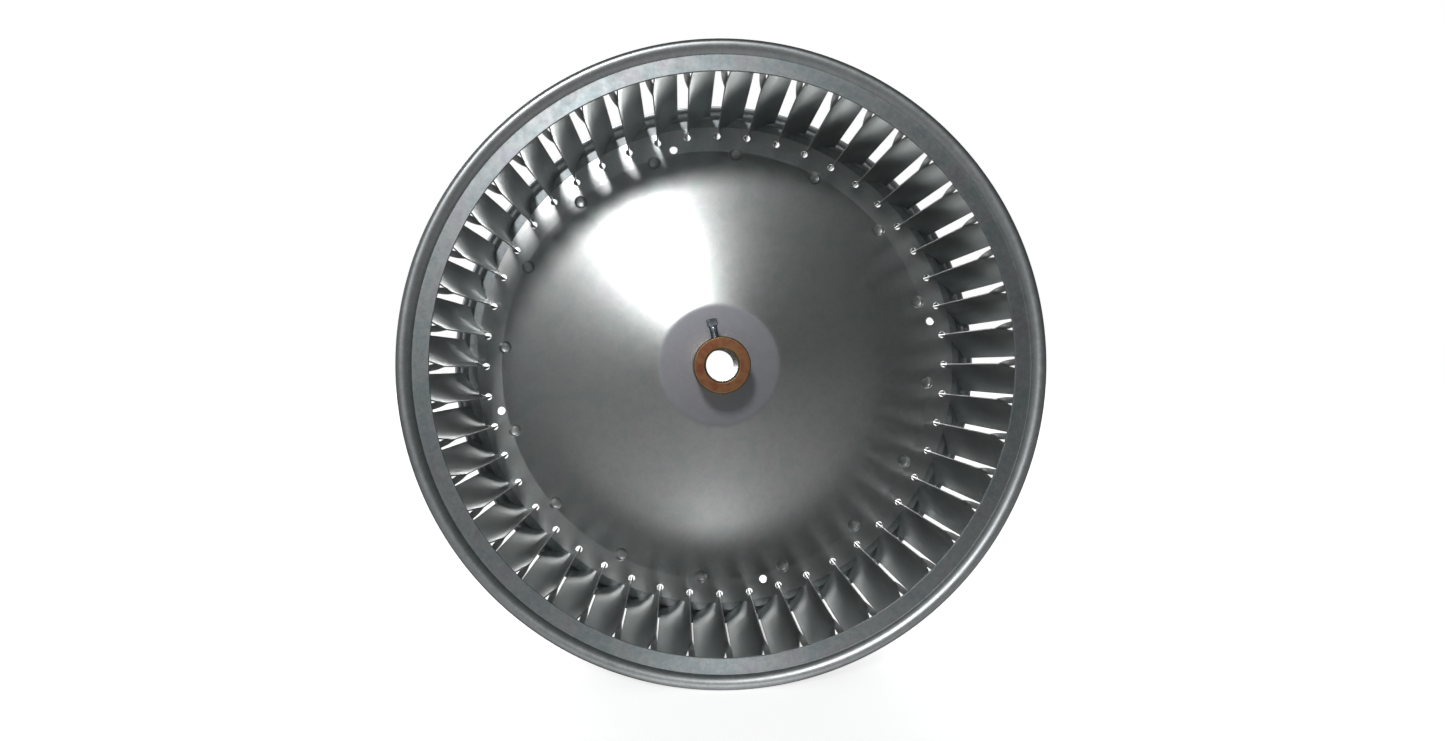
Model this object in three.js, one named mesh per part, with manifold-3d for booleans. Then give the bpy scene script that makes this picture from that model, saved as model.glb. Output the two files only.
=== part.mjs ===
// A forward-curved blower wheel ("squirrel cage") for a direct-drive blower, in millimetres.
// The wheel turns about the Y axis. Its inlet faces -Y and its closed, motor side faces +Y.
// The origin is the centre of the wheel. Angles are measured from +X towards +Z.

import * as THREE from "three";
import { mergeVertices } from "three/addons/utils/BufferGeometryUtils.js";
import Module from "manifold-3d";

const wasm = await Module();
wasm.setup();

const INCH = 25.4;
const GAP = 0.3; // clearance between pieces that touch

// The wheel as a whole
const WHEEL_RADIUS = (11.25 * INCH) / 2;
const WHEEL_WIDTH = 4 * INCH;

// End rings: a flat band, a bead that rises slowly from it and rolls over at the rim, and a skirt
// over the blade ends
const RING_SHEET = 1;
const BAND_INNER_RADIUS = 129.1;
const BEAD_HEIGHT = 3;
const BEAD_RISE_RADIUS = 5;
const BEAD_RISE_START = 55; // degrees from the band
const BEAD_ROLL_RADIUS = 1.5;
const SKIRT_LENGTH = 4;
const RING_SEGMENTS = 64;
const BEAD_RISE_STEPS = 4;
const BEAD_ROLL_STEPS = 3;

// Blades: equal circular arcs that lean towards the direction of rotation
const BLADE_COUNT = 48;
const BLADE_SHEET = 0.6;
const BLADE_INNER_RADIUS = 124.2;
const BLADE_OUTER_RADIUS = 138.7;
const BLADE_SWEEP = 6.1; // degrees from the inner edge to the outer edge, clockwise from the inlet
const BLADE_TURN = 70; // degrees that the arc itself turns through
const BLADE_START = 0.3; // angle of the first blade's inner edge
const BLADE_STEPS = 7;

// Disc: a flat slotted flange, a shallow conical web and a flat centre, pressed from one sheet
const DISC_SHEET = 1.2;
const DISC_RADIUS = 129;
const CREASE_RADIUS = 116.1; // where the flat flange meets the conical web
const BOSS_RADIUS = 32.4;
const FLANGE_FACE_Y = 35.8;
const BOSS_FACE_Y = 25.6;
const SLOT_CLEARANCE = 0.35;
const SLOT_END_SHARE = 0.45; // how far along the blade's arc a slot reaches, past the disc's rim
const RELIEF_HOLE_RADIUS = 1.8;
const INDEX_HOLE_COUNT = 4;
const INDEX_HOLE_RADIUS = 2.1;
const INDEX_CIRCLE_RADIUS = 118.8;
const INDEX_START = 11.8;
const POCKET_COUNT = 16;
const POCKET_RADIUS = 3.25;
const POCKET_CIRCLE_RADIUS = 114.7;
const POCKET_START = 17.7;
const POCKET_DEPTH = 1.2;

// Hub: a turned bush, staked to the disc behind its shoulder
const BORE_RADIUS = ((5 / 8) * INCH) / 2;
const HUB_RADIUS = (1.125 * INCH) / 2;
const HUB_LENGTH = 1.5 * INCH;
const HUB_FRONT_Y = -3.9;
const HUB_SPIGOT_RADIUS = 12;
const HUB_STAKE_RADIUS = 13.5;
const HUB_STAKE_LENGTH = 1.6;
const BORE_CHAMFER = 1;
const HUB_CHAMFER = 0.6;

// Set screw: a square-headed screw, radial, through the hub's wall onto the shaft
const SCREW_ANGLE = 102.5;
const SCREW_Y = HUB_FRONT_Y + 8.7;
const SCREW_RADIUS = 2.4;
const SCREW_TIP_FROM_AXIS = BORE_RADIUS + GAP;
const SCREW_TOP_FROM_AXIS = 23.9;
const SCREW_HEAD_WIDTH = (3 / 16) * INCH;
const SCREW_HEAD_HEIGHT = 3.6;
const SCREW_HEAD_TWIST = 12;
const SCREW_TIP_CHAMFER = 0.8;

const radians = THREE.MathUtils.degToRad;
const point = (radius, y) => new THREE.Vector2(radius, y);
const polar = (radius, degrees) =>
  point(radius * Math.cos(radians(degrees)), radius * Math.sin(radians(degrees)));

const galvanised = () =>
  new THREE.MeshStandardMaterial({ color: 0x8f979b, roughness: 0.42, metalness: 0.95 });
const yellowChromate = () =>
  new THREE.MeshStandardMaterial({ color: 0xa8743a, roughness: 0.35, metalness: 0.95 });
const brightZinc = () =>
  new THREE.MeshStandardMaterial({ color: 0xb9c4cf, roughness: 0.25, metalness: 1 });

// A closed geometry as a solid that can be joined and cut.
function solidOf(geometry) {
  const bare = geometry.clone();
  bare.deleteAttribute("normal");
  bare.deleteAttribute("uv");
  const merged = mergeVertices(bare, 1e-4);
  return new wasm.Manifold(
    new wasm.Mesh({
      numProp: 3,
      vertProperties: merged.attributes.position.array,
      triVerts: new Uint32Array(merged.index.array),
    }),
  );
}

function geometryOf(solid) {
  const mesh = solid.getMesh();
  const geometry = new THREE.BufferGeometry();
  geometry.setAttribute("position", new THREE.BufferAttribute(mesh.vertProperties, 3));
  geometry.setIndex(new THREE.BufferAttribute(mesh.triVerts, 1));
  const flat = geometry.toNonIndexed();
  flat.computeVertexNormals();
  return flat;
}

// The closed outline of a sheet of one thickness, bent along a centre line.
function sheetOutline(centreLine, thickness) {
  const side = (sign) =>
    centreLine.map((at, i) => {
      const before = centreLine[Math.max(i - 1, 0)];
      const after = centreLine[Math.min(i + 1, centreLine.length - 1)];
      const into = (i > 0 ? at.clone().sub(before) : after.clone().sub(at)).normalize();
      const out = (i < centreLine.length - 1 ? after.clone().sub(at) : into.clone()).normalize();
      const normalIn = point(-into.y, into.x);
      const normalOut = point(-out.y, out.x);
      const mitre = normalIn.clone().add(normalOut).normalize();
      const reach = thickness / 2 / mitre.dot(normalIn);
      return at.clone().addScaledVector(mitre, sign * reach);
    });
  return [...side(-1), ...side(1).reverse()];
}

// Spins a closed outline of (radius, y) points about the Y axis, with its faces pointing out.
function spun(outline, segments) {
  const ordered = THREE.ShapeUtils.isClockWise(outline) ? [...outline].reverse() : outline;
  return new THREE.LatheGeometry([...ordered, ordered[0].clone()], segments);
}

// A cylinder along Y at a place given by its circle's radius and its angle.
function postAt(radius, circleRadius, degrees, lowY, highY, sides) {
  const post = new THREE.CylinderGeometry(radius, radius, highY - lowY, sides);
  const place = polar(circleRadius, degrees);
  return post.translate(place.x, (lowY + highY) / 2, place.y);
}

// The centre line of one blade, from its inner edge (share 0) to its outer edge (share 1).
function bladeArc() {
  const inner = polar(BLADE_INNER_RADIUS, 0);
  const outer = polar(BLADE_OUTER_RADIUS, -BLADE_SWEEP);
  const chord = outer.clone().sub(inner);
  const turn = radians(BLADE_TURN);
  const radius = chord.length() / 2 / Math.sin(turn / 2);
  const towardsCentre = point(chord.y, -chord.x).normalize();
  const centre = inner
    .clone()
    .addScaledVector(chord, 0.5)
    .addScaledVector(towardsCentre, radius * Math.cos(turn / 2));
  const startAngle = inner.clone().sub(centre).angle();
  return { centre, radius, startAngle, turn };
}

// A strip that follows the blade's arc between two shares of it, as a flat shape.
function bladeStrip(fromShare, toShare, thickness, steps) {
  const arc = bladeArc();
  const edge = (radius) =>
    Array.from({ length: steps + 1 }, (_, i) => {
      const share = THREE.MathUtils.lerp(fromShare, toShare, i / steps);
      const angle = arc.startAngle - share * arc.turn;
      return arc.centre
        .clone()
        .add(point(radius * Math.cos(angle), radius * Math.sin(angle)));
    });
  const outside = edge(arc.radius + thickness / 2);
  const inside = edge(arc.radius - thickness / 2).reverse();
  return new THREE.Shape([...outside, ...inside]);
}

// A flat shape in the X-Z plane, made solid between two heights along Y, and turned about Y.
function raised(shape, lowY, highY, degrees) {
  const options = { depth: highY - lowY, bevelEnabled: false };
  const geometry = new THREE.ExtrudeGeometry(shape, options);
  geometry.rotateX(Math.PI / 2);
  geometry.translate(0, highY, 0);
  geometry.rotateY(-radians(degrees));
  return geometry;
}

const bladeAngle = (index) => BLADE_START + (index * 360) / BLADE_COUNT;

// One end ring. side is -1 at the inlet end and 1 at the motor end.
function ringGeometry(side) {
  const bandDepth = WHEEL_WIDTH / 2 - BEAD_HEIGHT;
  const crestDepth = WHEEL_WIDTH / 2 - RING_SHEET / 2;
  const skirtRadius = WHEEL_RADIUS - RING_SHEET / 2;
  const crestRadius = skirtRadius - BEAD_ROLL_RADIUS;
  const arc = (radius, from, to, steps) =>
    Array.from({ length: steps + 1 }, (_, i) => {
      const tilt = radians(from + ((to - from) * i) / steps);
      return point(
        crestRadius + radius * Math.sin(tilt),
        crestDepth - radius * (1 - Math.cos(tilt)),
      );
    });
  const rise = arc(BEAD_RISE_RADIUS, -BEAD_RISE_START, 0, BEAD_RISE_STEPS);
  const roll = arc(BEAD_ROLL_RADIUS, 0, 90, BEAD_ROLL_STEPS).slice(1);
  const foot = (rise[0].y - bandDepth) / Math.tan(radians(BEAD_RISE_START));
  const centreLine = [
    point(BAND_INNER_RADIUS, bandDepth),
    point(rise[0].x - foot, bandDepth),
    ...rise,
    ...roll,
    point(skirtRadius, bandDepth - SKIRT_LENGTH),
  ];
  const placed = centreLine.map((p) => point(p.x, side * p.y));
  return spun(sheetOutline(placed, RING_SHEET), RING_SEGMENTS);
}

function bladeGeometry(index) {
  const halfLength = WHEEL_WIDTH / 2 - BEAD_HEIGHT - RING_SHEET / 2 - GAP;
  const section = bladeStrip(0, 1, BLADE_SHEET, BLADE_STEPS);
  return raised(section, -halfLength, halfLength, bladeAngle(index));
}

function discGeometry() {
  const sheetMiddle = DISC_SHEET / 2;
  const centreLine = [
    point(HUB_SPIGOT_RADIUS + GAP, BOSS_FACE_Y + sheetMiddle),
    point(BOSS_RADIUS, BOSS_FACE_Y + sheetMiddle),
    point(CREASE_RADIUS, FLANGE_FACE_Y + sheetMiddle),
    point(DISC_RADIUS, FLANGE_FACE_Y + sheetMiddle),
  ];
  let disc = solidOf(spun(sheetOutline(centreLine, DISC_SHEET), RING_SEGMENTS));

  const pocketFloorY = FLANGE_FACE_Y + POCKET_DEPTH;
  const bumpRadius = POCKET_RADIUS + DISC_SHEET * 0.8;
  const pocketAngles = Array.from(
    { length: POCKET_COUNT },
    (_, i) => POCKET_START + (i * 360) / POCKET_COUNT,
  );
  for (const angle of pocketAngles) {
    const lowY = FLANGE_FACE_Y + sheetMiddle;
    const highY = pocketFloorY + DISC_SHEET;
    const bump = postAt(bumpRadius, POCKET_CIRCLE_RADIUS, angle, lowY, highY, 10);
    disc = disc.add(solidOf(bump));
  }
  for (const angle of pocketAngles) {
    const lowY = BOSS_FACE_Y;
    const pocket = postAt(POCKET_RADIUS, POCKET_CIRCLE_RADIUS, angle, lowY, pocketFloorY, 10);
    disc = disc.subtract(solidOf(pocket));
  }

  const behind = FLANGE_FACE_Y + 2 * DISC_SHEET;
  const inFront = FLANGE_FACE_Y - DISC_SHEET;
  const slotWidth = BLADE_SHEET + 2 * SLOT_CLEARANCE;
  const slotShape = bladeStrip(0, SLOT_END_SHARE, slotWidth, 3);
  for (let i = 0; i < BLADE_COUNT; i += 1) {
    const angle = bladeAngle(i);
    const slot = raised(slotShape, inFront, behind, angle);
    const hole = postAt(RELIEF_HOLE_RADIUS, BLADE_INNER_RADIUS, angle, inFront, behind, 8);
    disc = disc.subtract(solidOf(slot)).subtract(solidOf(hole));
  }
  for (let i = 0; i < INDEX_HOLE_COUNT; i += 1) {
    const angle = INDEX_START + (i * 360) / INDEX_HOLE_COUNT;
    const hole = postAt(INDEX_HOLE_RADIUS, INDEX_CIRCLE_RADIUS, angle, inFront, behind, 12);
    disc = disc.subtract(solidOf(hole));
  }
  return geometryOf(disc);
}

// Where the set screw's own axis points, away from the wheel's axis.
function screwDirection() {
  const flat = polar(1, SCREW_ANGLE);
  return new THREE.Vector3(flat.x, 0, flat.y);
}

// Lays a piece that was built along +Y, from the wheel's axis outwards, along the set screw.
function alongScrew(geometry) {
  const turn = new THREE.Quaternion().setFromUnitVectors(
    new THREE.Vector3(0, 1, 0),
    screwDirection(),
  );
  return geometry.applyQuaternion(turn).translate(0, SCREW_Y, 0);
}

function hubGeometry() {
  const rearY = HUB_FRONT_Y + HUB_LENGTH;
  const shoulderY = BOSS_FACE_Y - GAP;
  const stakeY = BOSS_FACE_Y + DISC_SHEET + GAP;
  const stakeEndY = stakeY + HUB_STAKE_LENGTH;
  const outline = [
    point(BORE_RADIUS, HUB_FRONT_Y + BORE_CHAMFER),
    point(BORE_RADIUS + BORE_CHAMFER, HUB_FRONT_Y),
    point(HUB_RADIUS - HUB_CHAMFER, HUB_FRONT_Y),
    point(HUB_RADIUS, HUB_FRONT_Y + HUB_CHAMFER),
    point(HUB_RADIUS, shoulderY),
    point(HUB_SPIGOT_RADIUS, shoulderY),
    point(HUB_SPIGOT_RADIUS, stakeY),
    point(HUB_STAKE_RADIUS, stakeY),
    point(HUB_STAKE_RADIUS, stakeEndY - HUB_CHAMFER),
    point(HUB_STAKE_RADIUS - HUB_CHAMFER, stakeEndY),
    point(HUB_SPIGOT_RADIUS, stakeEndY),
    point(HUB_SPIGOT_RADIUS, rearY - HUB_CHAMFER),
    point(HUB_SPIGOT_RADIUS - HUB_CHAMFER, rearY),
    point(BORE_RADIUS + BORE_CHAMFER, rearY),
    point(BORE_RADIUS, rearY - BORE_CHAMFER),
  ];
  const hub = solidOf(spun(outline, 40));
  const holeRadius = SCREW_RADIUS + GAP;
  const hole = new THREE.CylinderGeometry(holeRadius, holeRadius, 2 * HUB_RADIUS, 20);
  hole.translate(0, HUB_RADIUS, 0);
  return geometryOf(hub.subtract(solidOf(alongScrew(hole))));
}

function setScrewGeometry() {
  const headUnderside = SCREW_TOP_FROM_AXIS - SCREW_HEAD_HEIGHT;
  const shankOutline = [
    point(0, SCREW_TIP_FROM_AXIS),
    point(SCREW_RADIUS - SCREW_TIP_CHAMFER, SCREW_TIP_FROM_AXIS),
    point(SCREW_RADIUS, SCREW_TIP_FROM_AXIS + SCREW_TIP_CHAMFER),
    point(SCREW_RADIUS, headUnderside + SCREW_HEAD_HEIGHT / 2),
    point(0, headUnderside + SCREW_HEAD_HEIGHT / 2),
  ];
  const shank = new THREE.LatheGeometry(shankOutline, 24);
  const head = new THREE.BoxGeometry(SCREW_HEAD_WIDTH, SCREW_HEAD_HEIGHT, SCREW_HEAD_WIDTH);
  head.translate(0, headUnderside + SCREW_HEAD_HEIGHT / 2, 0);
  head.rotateY(radians(SCREW_HEAD_TWIST));
  const joined = solidOf(shank).add(solidOf(head));
  return alongScrew(geometryOf(joined));
}

const wheel = new THREE.Group();

function addPiece(name, geometry, material) {
  const mesh = new THREE.Mesh(geometry, material);
  mesh.name = name;
  wheel.add(mesh);
}

addPiece("front_ring", ringGeometry(-1), galvanised());
addPiece("rear_ring", ringGeometry(1), galvanised());
addPiece("centre_disc", discGeometry(), galvanised());
addPiece("hub", hubGeometry(), yellowChromate());
addPiece("set_screw", setScrewGeometry(), brightZinc());
for (let i = 0; i < BLADE_COUNT; i += 1) {
  const number = String(i + 1).padStart(2, "0");
  addPiece(`blade_${number}`, bladeGeometry(i), galvanised());
}

export default wheel;
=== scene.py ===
"""A forward-curved blower wheel on a pale studio floor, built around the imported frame.

Metres throughout, in the frame's own axes: the wheel turns about Y, its inlet faces -Y and +Z
is up. Angles run from +X towards +Z, which is anticlockwise as seen from the inlet.
"""

import math
import random

import bmesh
import bpy
from mathutils import Matrix, Quaternion, Vector


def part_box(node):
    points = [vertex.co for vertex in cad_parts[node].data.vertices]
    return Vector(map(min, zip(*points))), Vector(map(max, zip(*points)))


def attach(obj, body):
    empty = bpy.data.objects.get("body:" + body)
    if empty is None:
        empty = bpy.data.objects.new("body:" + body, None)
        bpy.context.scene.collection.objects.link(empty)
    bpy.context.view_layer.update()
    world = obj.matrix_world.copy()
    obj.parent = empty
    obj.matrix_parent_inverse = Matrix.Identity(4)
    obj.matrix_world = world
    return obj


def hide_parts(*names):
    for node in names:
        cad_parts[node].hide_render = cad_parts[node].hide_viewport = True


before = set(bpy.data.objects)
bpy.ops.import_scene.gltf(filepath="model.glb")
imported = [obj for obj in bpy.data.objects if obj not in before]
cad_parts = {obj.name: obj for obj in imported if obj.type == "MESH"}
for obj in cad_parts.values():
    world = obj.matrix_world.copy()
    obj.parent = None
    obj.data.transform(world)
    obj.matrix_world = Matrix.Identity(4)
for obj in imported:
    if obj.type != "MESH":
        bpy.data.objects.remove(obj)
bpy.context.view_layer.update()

MM = 0.001
INCH = 25.4 * MM
SHARP_ANGLE = math.radians(32)

# The wheel as a whole, from the frame
WHEEL_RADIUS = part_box("front_ring")[1].x
HALF_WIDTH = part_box("rear_ring")[1].y
LATHE_SEGMENTS = 384

# End rings
RING_SHEET = 1.0 * MM
RING_EDGE = 0.22 * MM
BAND_INNER_RADIUS = 129.1 * MM
BEAD_RISE_RADIUS = 5.0 * MM
BEAD_RISE_START = math.radians(55)
BEAD_ROLL_RADIUS = 1.5 * MM
SEAM_FILLET = 0.85 * MM
SKIRT_LENGTH = 4.0 * MM

# Blades. A pair is a length or an angle, and how much it scatters from blade to blade
BLADE_COUNT = 48
BLADE_SHEET = 0.6 * MM
BLADE_EDGE = 0.13 * MM
BLADE_INNER_RADIUS = 124.2 * MM
BLADE_OUTER_RADIUS = 138.7 * MM
BLADE_SWEEP = math.radians(6.1)
BLADE_TURN = math.radians(70)
BLADE_START = math.radians(0.3)
BLADE_HALF_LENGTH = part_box("blade_01")[1].y
BLADE_CORNER_RADIUS = 130.4 * MM
FRONT_LANCE_Y = (-40.8 * MM, 0.45 * MM)
REAR_LANCE_Y = (44.4 * MM, 0.3 * MM)
TONGUE_WIDTH = 2.9 * MM
TONGUE_END_RADIUS = 129.75 * MM
TONGUE_SHIFT = (0.65 * MM, 0.25 * MM)
TONGUE_TURN = (math.radians(78), math.radians(7))

# Centre disc
DISC_SHEET = 1.2 * MM
DISC_EDGE = 0.2 * MM
DISC_RADIUS = 129.0 * MM
CREASE_RADIUS = 116.1 * MM
BOSS_RADIUS = 32.4 * MM
FLANGE_FACE_Y = 35.8 * MM
BOSS_FACE_Y = 25.6 * MM
BOSS_FOLD = 2.4 * MM
CREASE_FOLD = 0.8 * MM
DISC_HOLE_RADIUS = 12.3 * MM
RELIEF_HOLE_RADIUS = 1.8 * MM
SLOT_WIDTH = 0.8 * MM
SLOT_END_SHARE = 0.47
SLOT_FLARE_SHARE = 0.30
SLOT_FLARE = 1.1 * MM
INDEX_HOLE_COUNT = 4
INDEX_HOLE_RADIUS = 2.1 * MM
INDEX_CIRCLE_RADIUS = 118.8 * MM
INDEX_START = math.radians(11.8)
POCKET_COUNT = 16
POCKET_RADIUS = 3.25 * MM
POCKET_CIRCLE_RADIUS = 114.7 * MM
POCKET_START = math.radians(17.7)
POCKET_DEPTH = 1.2 * MM

# Hub
HUB_FRONT_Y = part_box("hub")[0].y
HUB_REAR_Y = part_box("hub")[1].y
HUB_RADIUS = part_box("hub")[1].x
HUB_CHAMFER = 0.6 * MM
HUB_CORNER = 0.12 * MM
BORE_RADIUS = 5 / 16 * INCH
BORE_CHAMFER = 1.0 * MM
SPIGOT_RADIUS = 12.0 * MM
STAKE_RADIUS = 13.5 * MM
STAKE_LENGTH = 1.6 * MM
STAKE_GAP = 0.05 * MM

# Set screw
SCREW_ANGLE = math.radians(102.5)
SCREW_Y = HUB_FRONT_Y + 8.7 * MM
SCREW_RADIUS = 2.4 * MM
SCREW_TIP = 8.24 * MM
SCREW_TOP = 23.9 * MM
THREAD_PITCH = INCH / 32
THREAD_ROOT = SCREW_RADIUS - 0.55 * THREAD_PITCH
THREAD_CREST_SHARE = 0.14
THREAD_FLANK_SHARE = 0.68
SCREW_NECK_RADIUS = THREAD_ROOT + 0.25 * MM
CUP_RADIUS = 1.1 * MM
CUP_DEPTH = 0.55 * MM
CUP_RIM = 0.3 * MM
SCREW_HEAD_WIDTH = 3 / 16 * INCH
SCREW_HEAD_HEIGHT = 3.6 * MM
SCREW_HEAD_EDGE = 0.14 * MM
SCREW_HEAD_TWIST = math.radians(12)
HEAD_CORNER_RADIUS = SCREW_HEAD_WIDTH / math.sqrt(2) - 0.28 * MM
HEAD_TOP_RADIUS = SCREW_HEAD_WIDTH / 2 - 0.1 * MM
HEAD_CHAMFER_SLOPE = math.tan(math.radians(58))

random.seed(48)


def polar(radius, angle):
    """A point of the X-Z plane, as a 2-D vector."""
    return Vector((radius * math.cos(angle), radius * math.sin(angle)))


def turned(point, angle):
    """A 2-D point turned about the wheel's axis."""
    c, s = math.cos(angle), math.sin(angle)
    return Vector((point.x * c - point.y * s, point.x * s + point.y * c))


def around(count, start):
    """Angles evenly spaced around the wheel."""
    return [start + i * 2 * math.pi / count for i in range(count)]


def blend(low, high, share):
    return low + (high - low) * share


def smooth(share):
    """Eases a share in and out, and holds it between 0 and 1."""
    share = min(max(share, 0.0), 1.0)
    return share * share * (3 - 2 * share)


def scattered(value, spread):
    return value + random.uniform(-spread, spread)


BLADE_ANGLES = around(BLADE_COUNT, BLADE_START)


# ---------------------------------------------------------------- meshes


def mesh_object(name, vertices, faces, sharp_angle=SHARP_ANGLE):
    """A new object, smooth except where its surface turns by more than the sharp angle."""
    mesh = bpy.data.meshes.new(name)
    mesh.from_pydata(vertices, [], faces)
    made = bmesh.new()
    made.from_mesh(mesh)
    bmesh.ops.recalc_face_normals(made, faces=made.faces)
    made.to_mesh(mesh)
    made.free()
    mesh.shade_smooth()
    mesh.set_sharp_from_angle(angle=sharp_angle)
    piece = bpy.data.objects.new(name, mesh)
    bpy.context.scene.collection.objects.link(piece)
    return piece


def apply_modifiers(piece):
    """Bakes a piece's modifiers into its mesh."""
    graph = bpy.context.evaluated_depsgraph_get()
    mesh = bpy.data.meshes.new_from_object(piece.evaluated_get(graph))
    piece.modifiers.clear()
    piece.data = mesh


def even_normals(piece):
    """Lets large faces keep their own normals where they meet a narrow rounded edge."""
    modifier = piece.modifiers.new("even_normals", "WEIGHTED_NORMAL")
    modifier.keep_sharp = True
    modifier.weight = 60


def round_edges(piece, width, angle):
    """Rounds every edge that turns by more than an angle."""
    modifier = piece.modifiers.new("rounded_edges", "BEVEL")
    modifier.width = width
    modifier.segments = 2
    modifier.limit_method = "ANGLE"
    modifier.angle_limit = angle
    modifier.use_clamp_overlap = True


def arc_points(centre, radius, start, end, steps):
    """Points on a circle's arc, both ends included."""
    return [centre + polar(radius, blend(start, end, i / steps)) for i in range(steps + 1)]


def rounded_sheet(centre_line, thickness, rounding):
    """The closed outline of a bent sheet with rounded ends, around a line of (radius, y) points."""
    end = len(centre_line) - 1
    start_out = (centre_line[0] - centre_line[1]).normalized()
    finish_out = (centre_line[end] - centre_line[end - 1]).normalized()
    set_back = 2.2 * rounding
    quarter_steps = 4

    def side(sign):
        """The line moved to one face, set back at both ends to keep the rounding out of it."""
        points = []
        for i, at in enumerate(centre_line):
            along = centre_line[min(i + 1, end)] - centre_line[max(i - 1, 0)]
            along.normalize()
            points.append(at + Vector((-along.y, along.x)) * sign * thickness / 2)
        points[0] -= start_out * set_back
        points[-1] -= finish_out * set_back
        return points

    def cap(at, out):
        """A rounded end, from the face on the left of its outward direction to the other face."""
        normal = Vector((-out.y, out.x))
        flat = thickness / 2 - rounding
        points = []
        for sign in (1, -1):
            for i in range(quarter_steps + 1):
                done = i if sign == 1 else quarter_steps - i
                angle = math.pi / 2 * done / quarter_steps
                reach = math.sin(angle) * rounding - rounding
                offset = sign * (flat + math.cos(angle) * rounding)
                points.append(at + out * reach + normal * offset)
        return points

    finish = cap(centre_line[end], finish_out)
    start = cap(centre_line[0], start_out)
    return [*side(1), *finish, *reversed(side(-1)), *start]


def lathe(name, outline, segments, sharp_angle=SHARP_ANGLE):
    """Spins a closed outline of (radius, y) points about the Y axis."""
    vertices = []
    for i in range(segments):
        angle = 2 * math.pi * i / segments
        for at in outline:
            vertices.append((at.x * math.cos(angle), at.y, at.x * math.sin(angle)))
    count = len(outline)
    faces = []
    for i in range(segments):
        here = i * count
        there = (i + 1) % segments * count
        for j in range(count):
            k = (j + 1) % count
            faces.append((here + j, there + j, there + k, here + k))
    return mesh_object(name, vertices, faces, sharp_angle)


def prism(outline, low_y, high_y):
    """Vertices and faces of a closed prism along Y over an outline in the X-Z plane."""
    count = len(outline)
    vertices = [(p.x, y, p.y) for y in (low_y, high_y) for p in outline]
    faces = [tuple(range(count)), tuple(reversed(range(count, 2 * count)))]
    for j in range(count):
        k = (j + 1) % count
        faces.append((j, count + j, count + k, k))
    return vertices, faces


def combined(name, parts):
    """One object out of several separate closed parts."""
    vertices = []
    faces = []
    for part_vertices, part_faces in parts:
        offset = len(vertices)
        vertices += part_vertices
        faces += [tuple(offset + i for i in face) for face in part_faces]
    return mesh_object(name, vertices, faces)


def cut(piece, tool, operation="DIFFERENCE"):
    """Cuts or joins a piece with a tool, and removes the tool."""
    modifier = piece.modifiers.new("cut", "BOOLEAN")
    modifier.operation = operation
    modifier.solver = "MANIFOLD"
    modifier.object = tool
    apply_modifiers(piece)
    bpy.data.objects.remove(tool)


# ---------------------------------------------------------------- blade arc


class BladeArc:
    """A blade's section as a centre line: share 0 is its inner edge and share 1 its outer edge."""

    def __init__(self):
        inner = polar(BLADE_INNER_RADIUS, 0)
        outer = polar(BLADE_OUTER_RADIUS, -BLADE_SWEEP)
        chord = outer - inner
        self.radius = chord.length / 2 / math.sin(BLADE_TURN / 2)
        towards_centre = Vector((chord.y, -chord.x)).normalized()
        depth = self.radius * math.cos(BLADE_TURN / 2)
        self.centre = inner + chord / 2 + towards_centre * depth
        start = inner - self.centre
        self.start_angle = math.atan2(start.y, start.x)
        self.length = self.radius * BLADE_TURN

    def at(self, share, offset=0.0):
        angle = self.start_angle - share * BLADE_TURN
        return self.centre + polar(self.radius + offset, angle)

    def share_at_radius(self, radius):
        """Where the arc reaches a distance from the wheel's axis, by halving."""
        low, high = 0.0, 1.0
        for _ in range(40):
            middle = (low + high) / 2
            if self.at(middle).length < radius:
                low = middle
            else:
                high = middle
        return (low + high) / 2


ARC = BladeArc()


# ---------------------------------------------------------------- end rings


def end_ring(name, side):
    """A pressed ring: flat band, bead and skirt. side is -1 at the inlet and 1 at the motor end."""
    upright = math.pi / 2
    skirt_radius = WHEEL_RADIUS - RING_SHEET / 2
    crest = Vector((skirt_radius - BEAD_ROLL_RADIUS, HALF_WIDTH - RING_SHEET / 2))
    rise = arc_points(
        crest - Vector((0, BEAD_RISE_RADIUS)),
        BEAD_RISE_RADIUS,
        upright + BEAD_RISE_START,
        upright,
        steps=16,
    )
    roll = arc_points(
        crest - Vector((0, BEAD_ROLL_RADIUS)), BEAD_ROLL_RADIUS, upright, 0, steps=10
    )
    slope = Vector((math.sin(BEAD_RISE_START), -math.cos(BEAD_RISE_START)))
    fillet_centre = rise[0] - SEAM_FILLET * slope
    fillet = arc_points(
        fillet_centre, SEAM_FILLET, -upright, BEAD_RISE_START - upright, steps=6
    )
    band_y = fillet_centre.y - SEAM_FILLET
    band_steps = 6
    band = [
        Vector((blend(BAND_INNER_RADIUS, fillet[0].x, i / band_steps), band_y))
        for i in range(band_steps)
    ]
    skirt = [
        Vector((skirt_radius, blend(roll[-1].y, band_y - SKIRT_LENGTH, share)))
        for share in (0.3, 0.65, 1)
    ]
    line = [*band, *fillet, *rise[1:], *roll[1:], *skirt]
    placed = [Vector((p.x, side * p.y)) for p in line]
    return lathe(name, rounded_sheet(placed, RING_SHEET, RING_EDGE), LATHE_SEGMENTS)


# ---------------------------------------------------------------- centre disc


def fold_share(distance):
    """How much of a fold's turn is done, at a distance from its middle in half-widths."""
    t = min(max(distance, -1.0), 1.0)
    return (1 + t) ** 2 / 2 if t < 0 else 1 - (1 - t) ** 2 / 2


def fold_rise(distance):
    """The running sum of fold_share."""
    if distance < -1:
        return 0.0
    if distance < 0:
        return (1 + distance) ** 3 / 6
    if distance < 1:
        return distance + (1 - distance) ** 3 / 6
    return distance


WEB_SLOPE = (FLANGE_FACE_Y - BOSS_FACE_Y) / (CREASE_RADIUS - BOSS_RADIUS)


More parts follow.
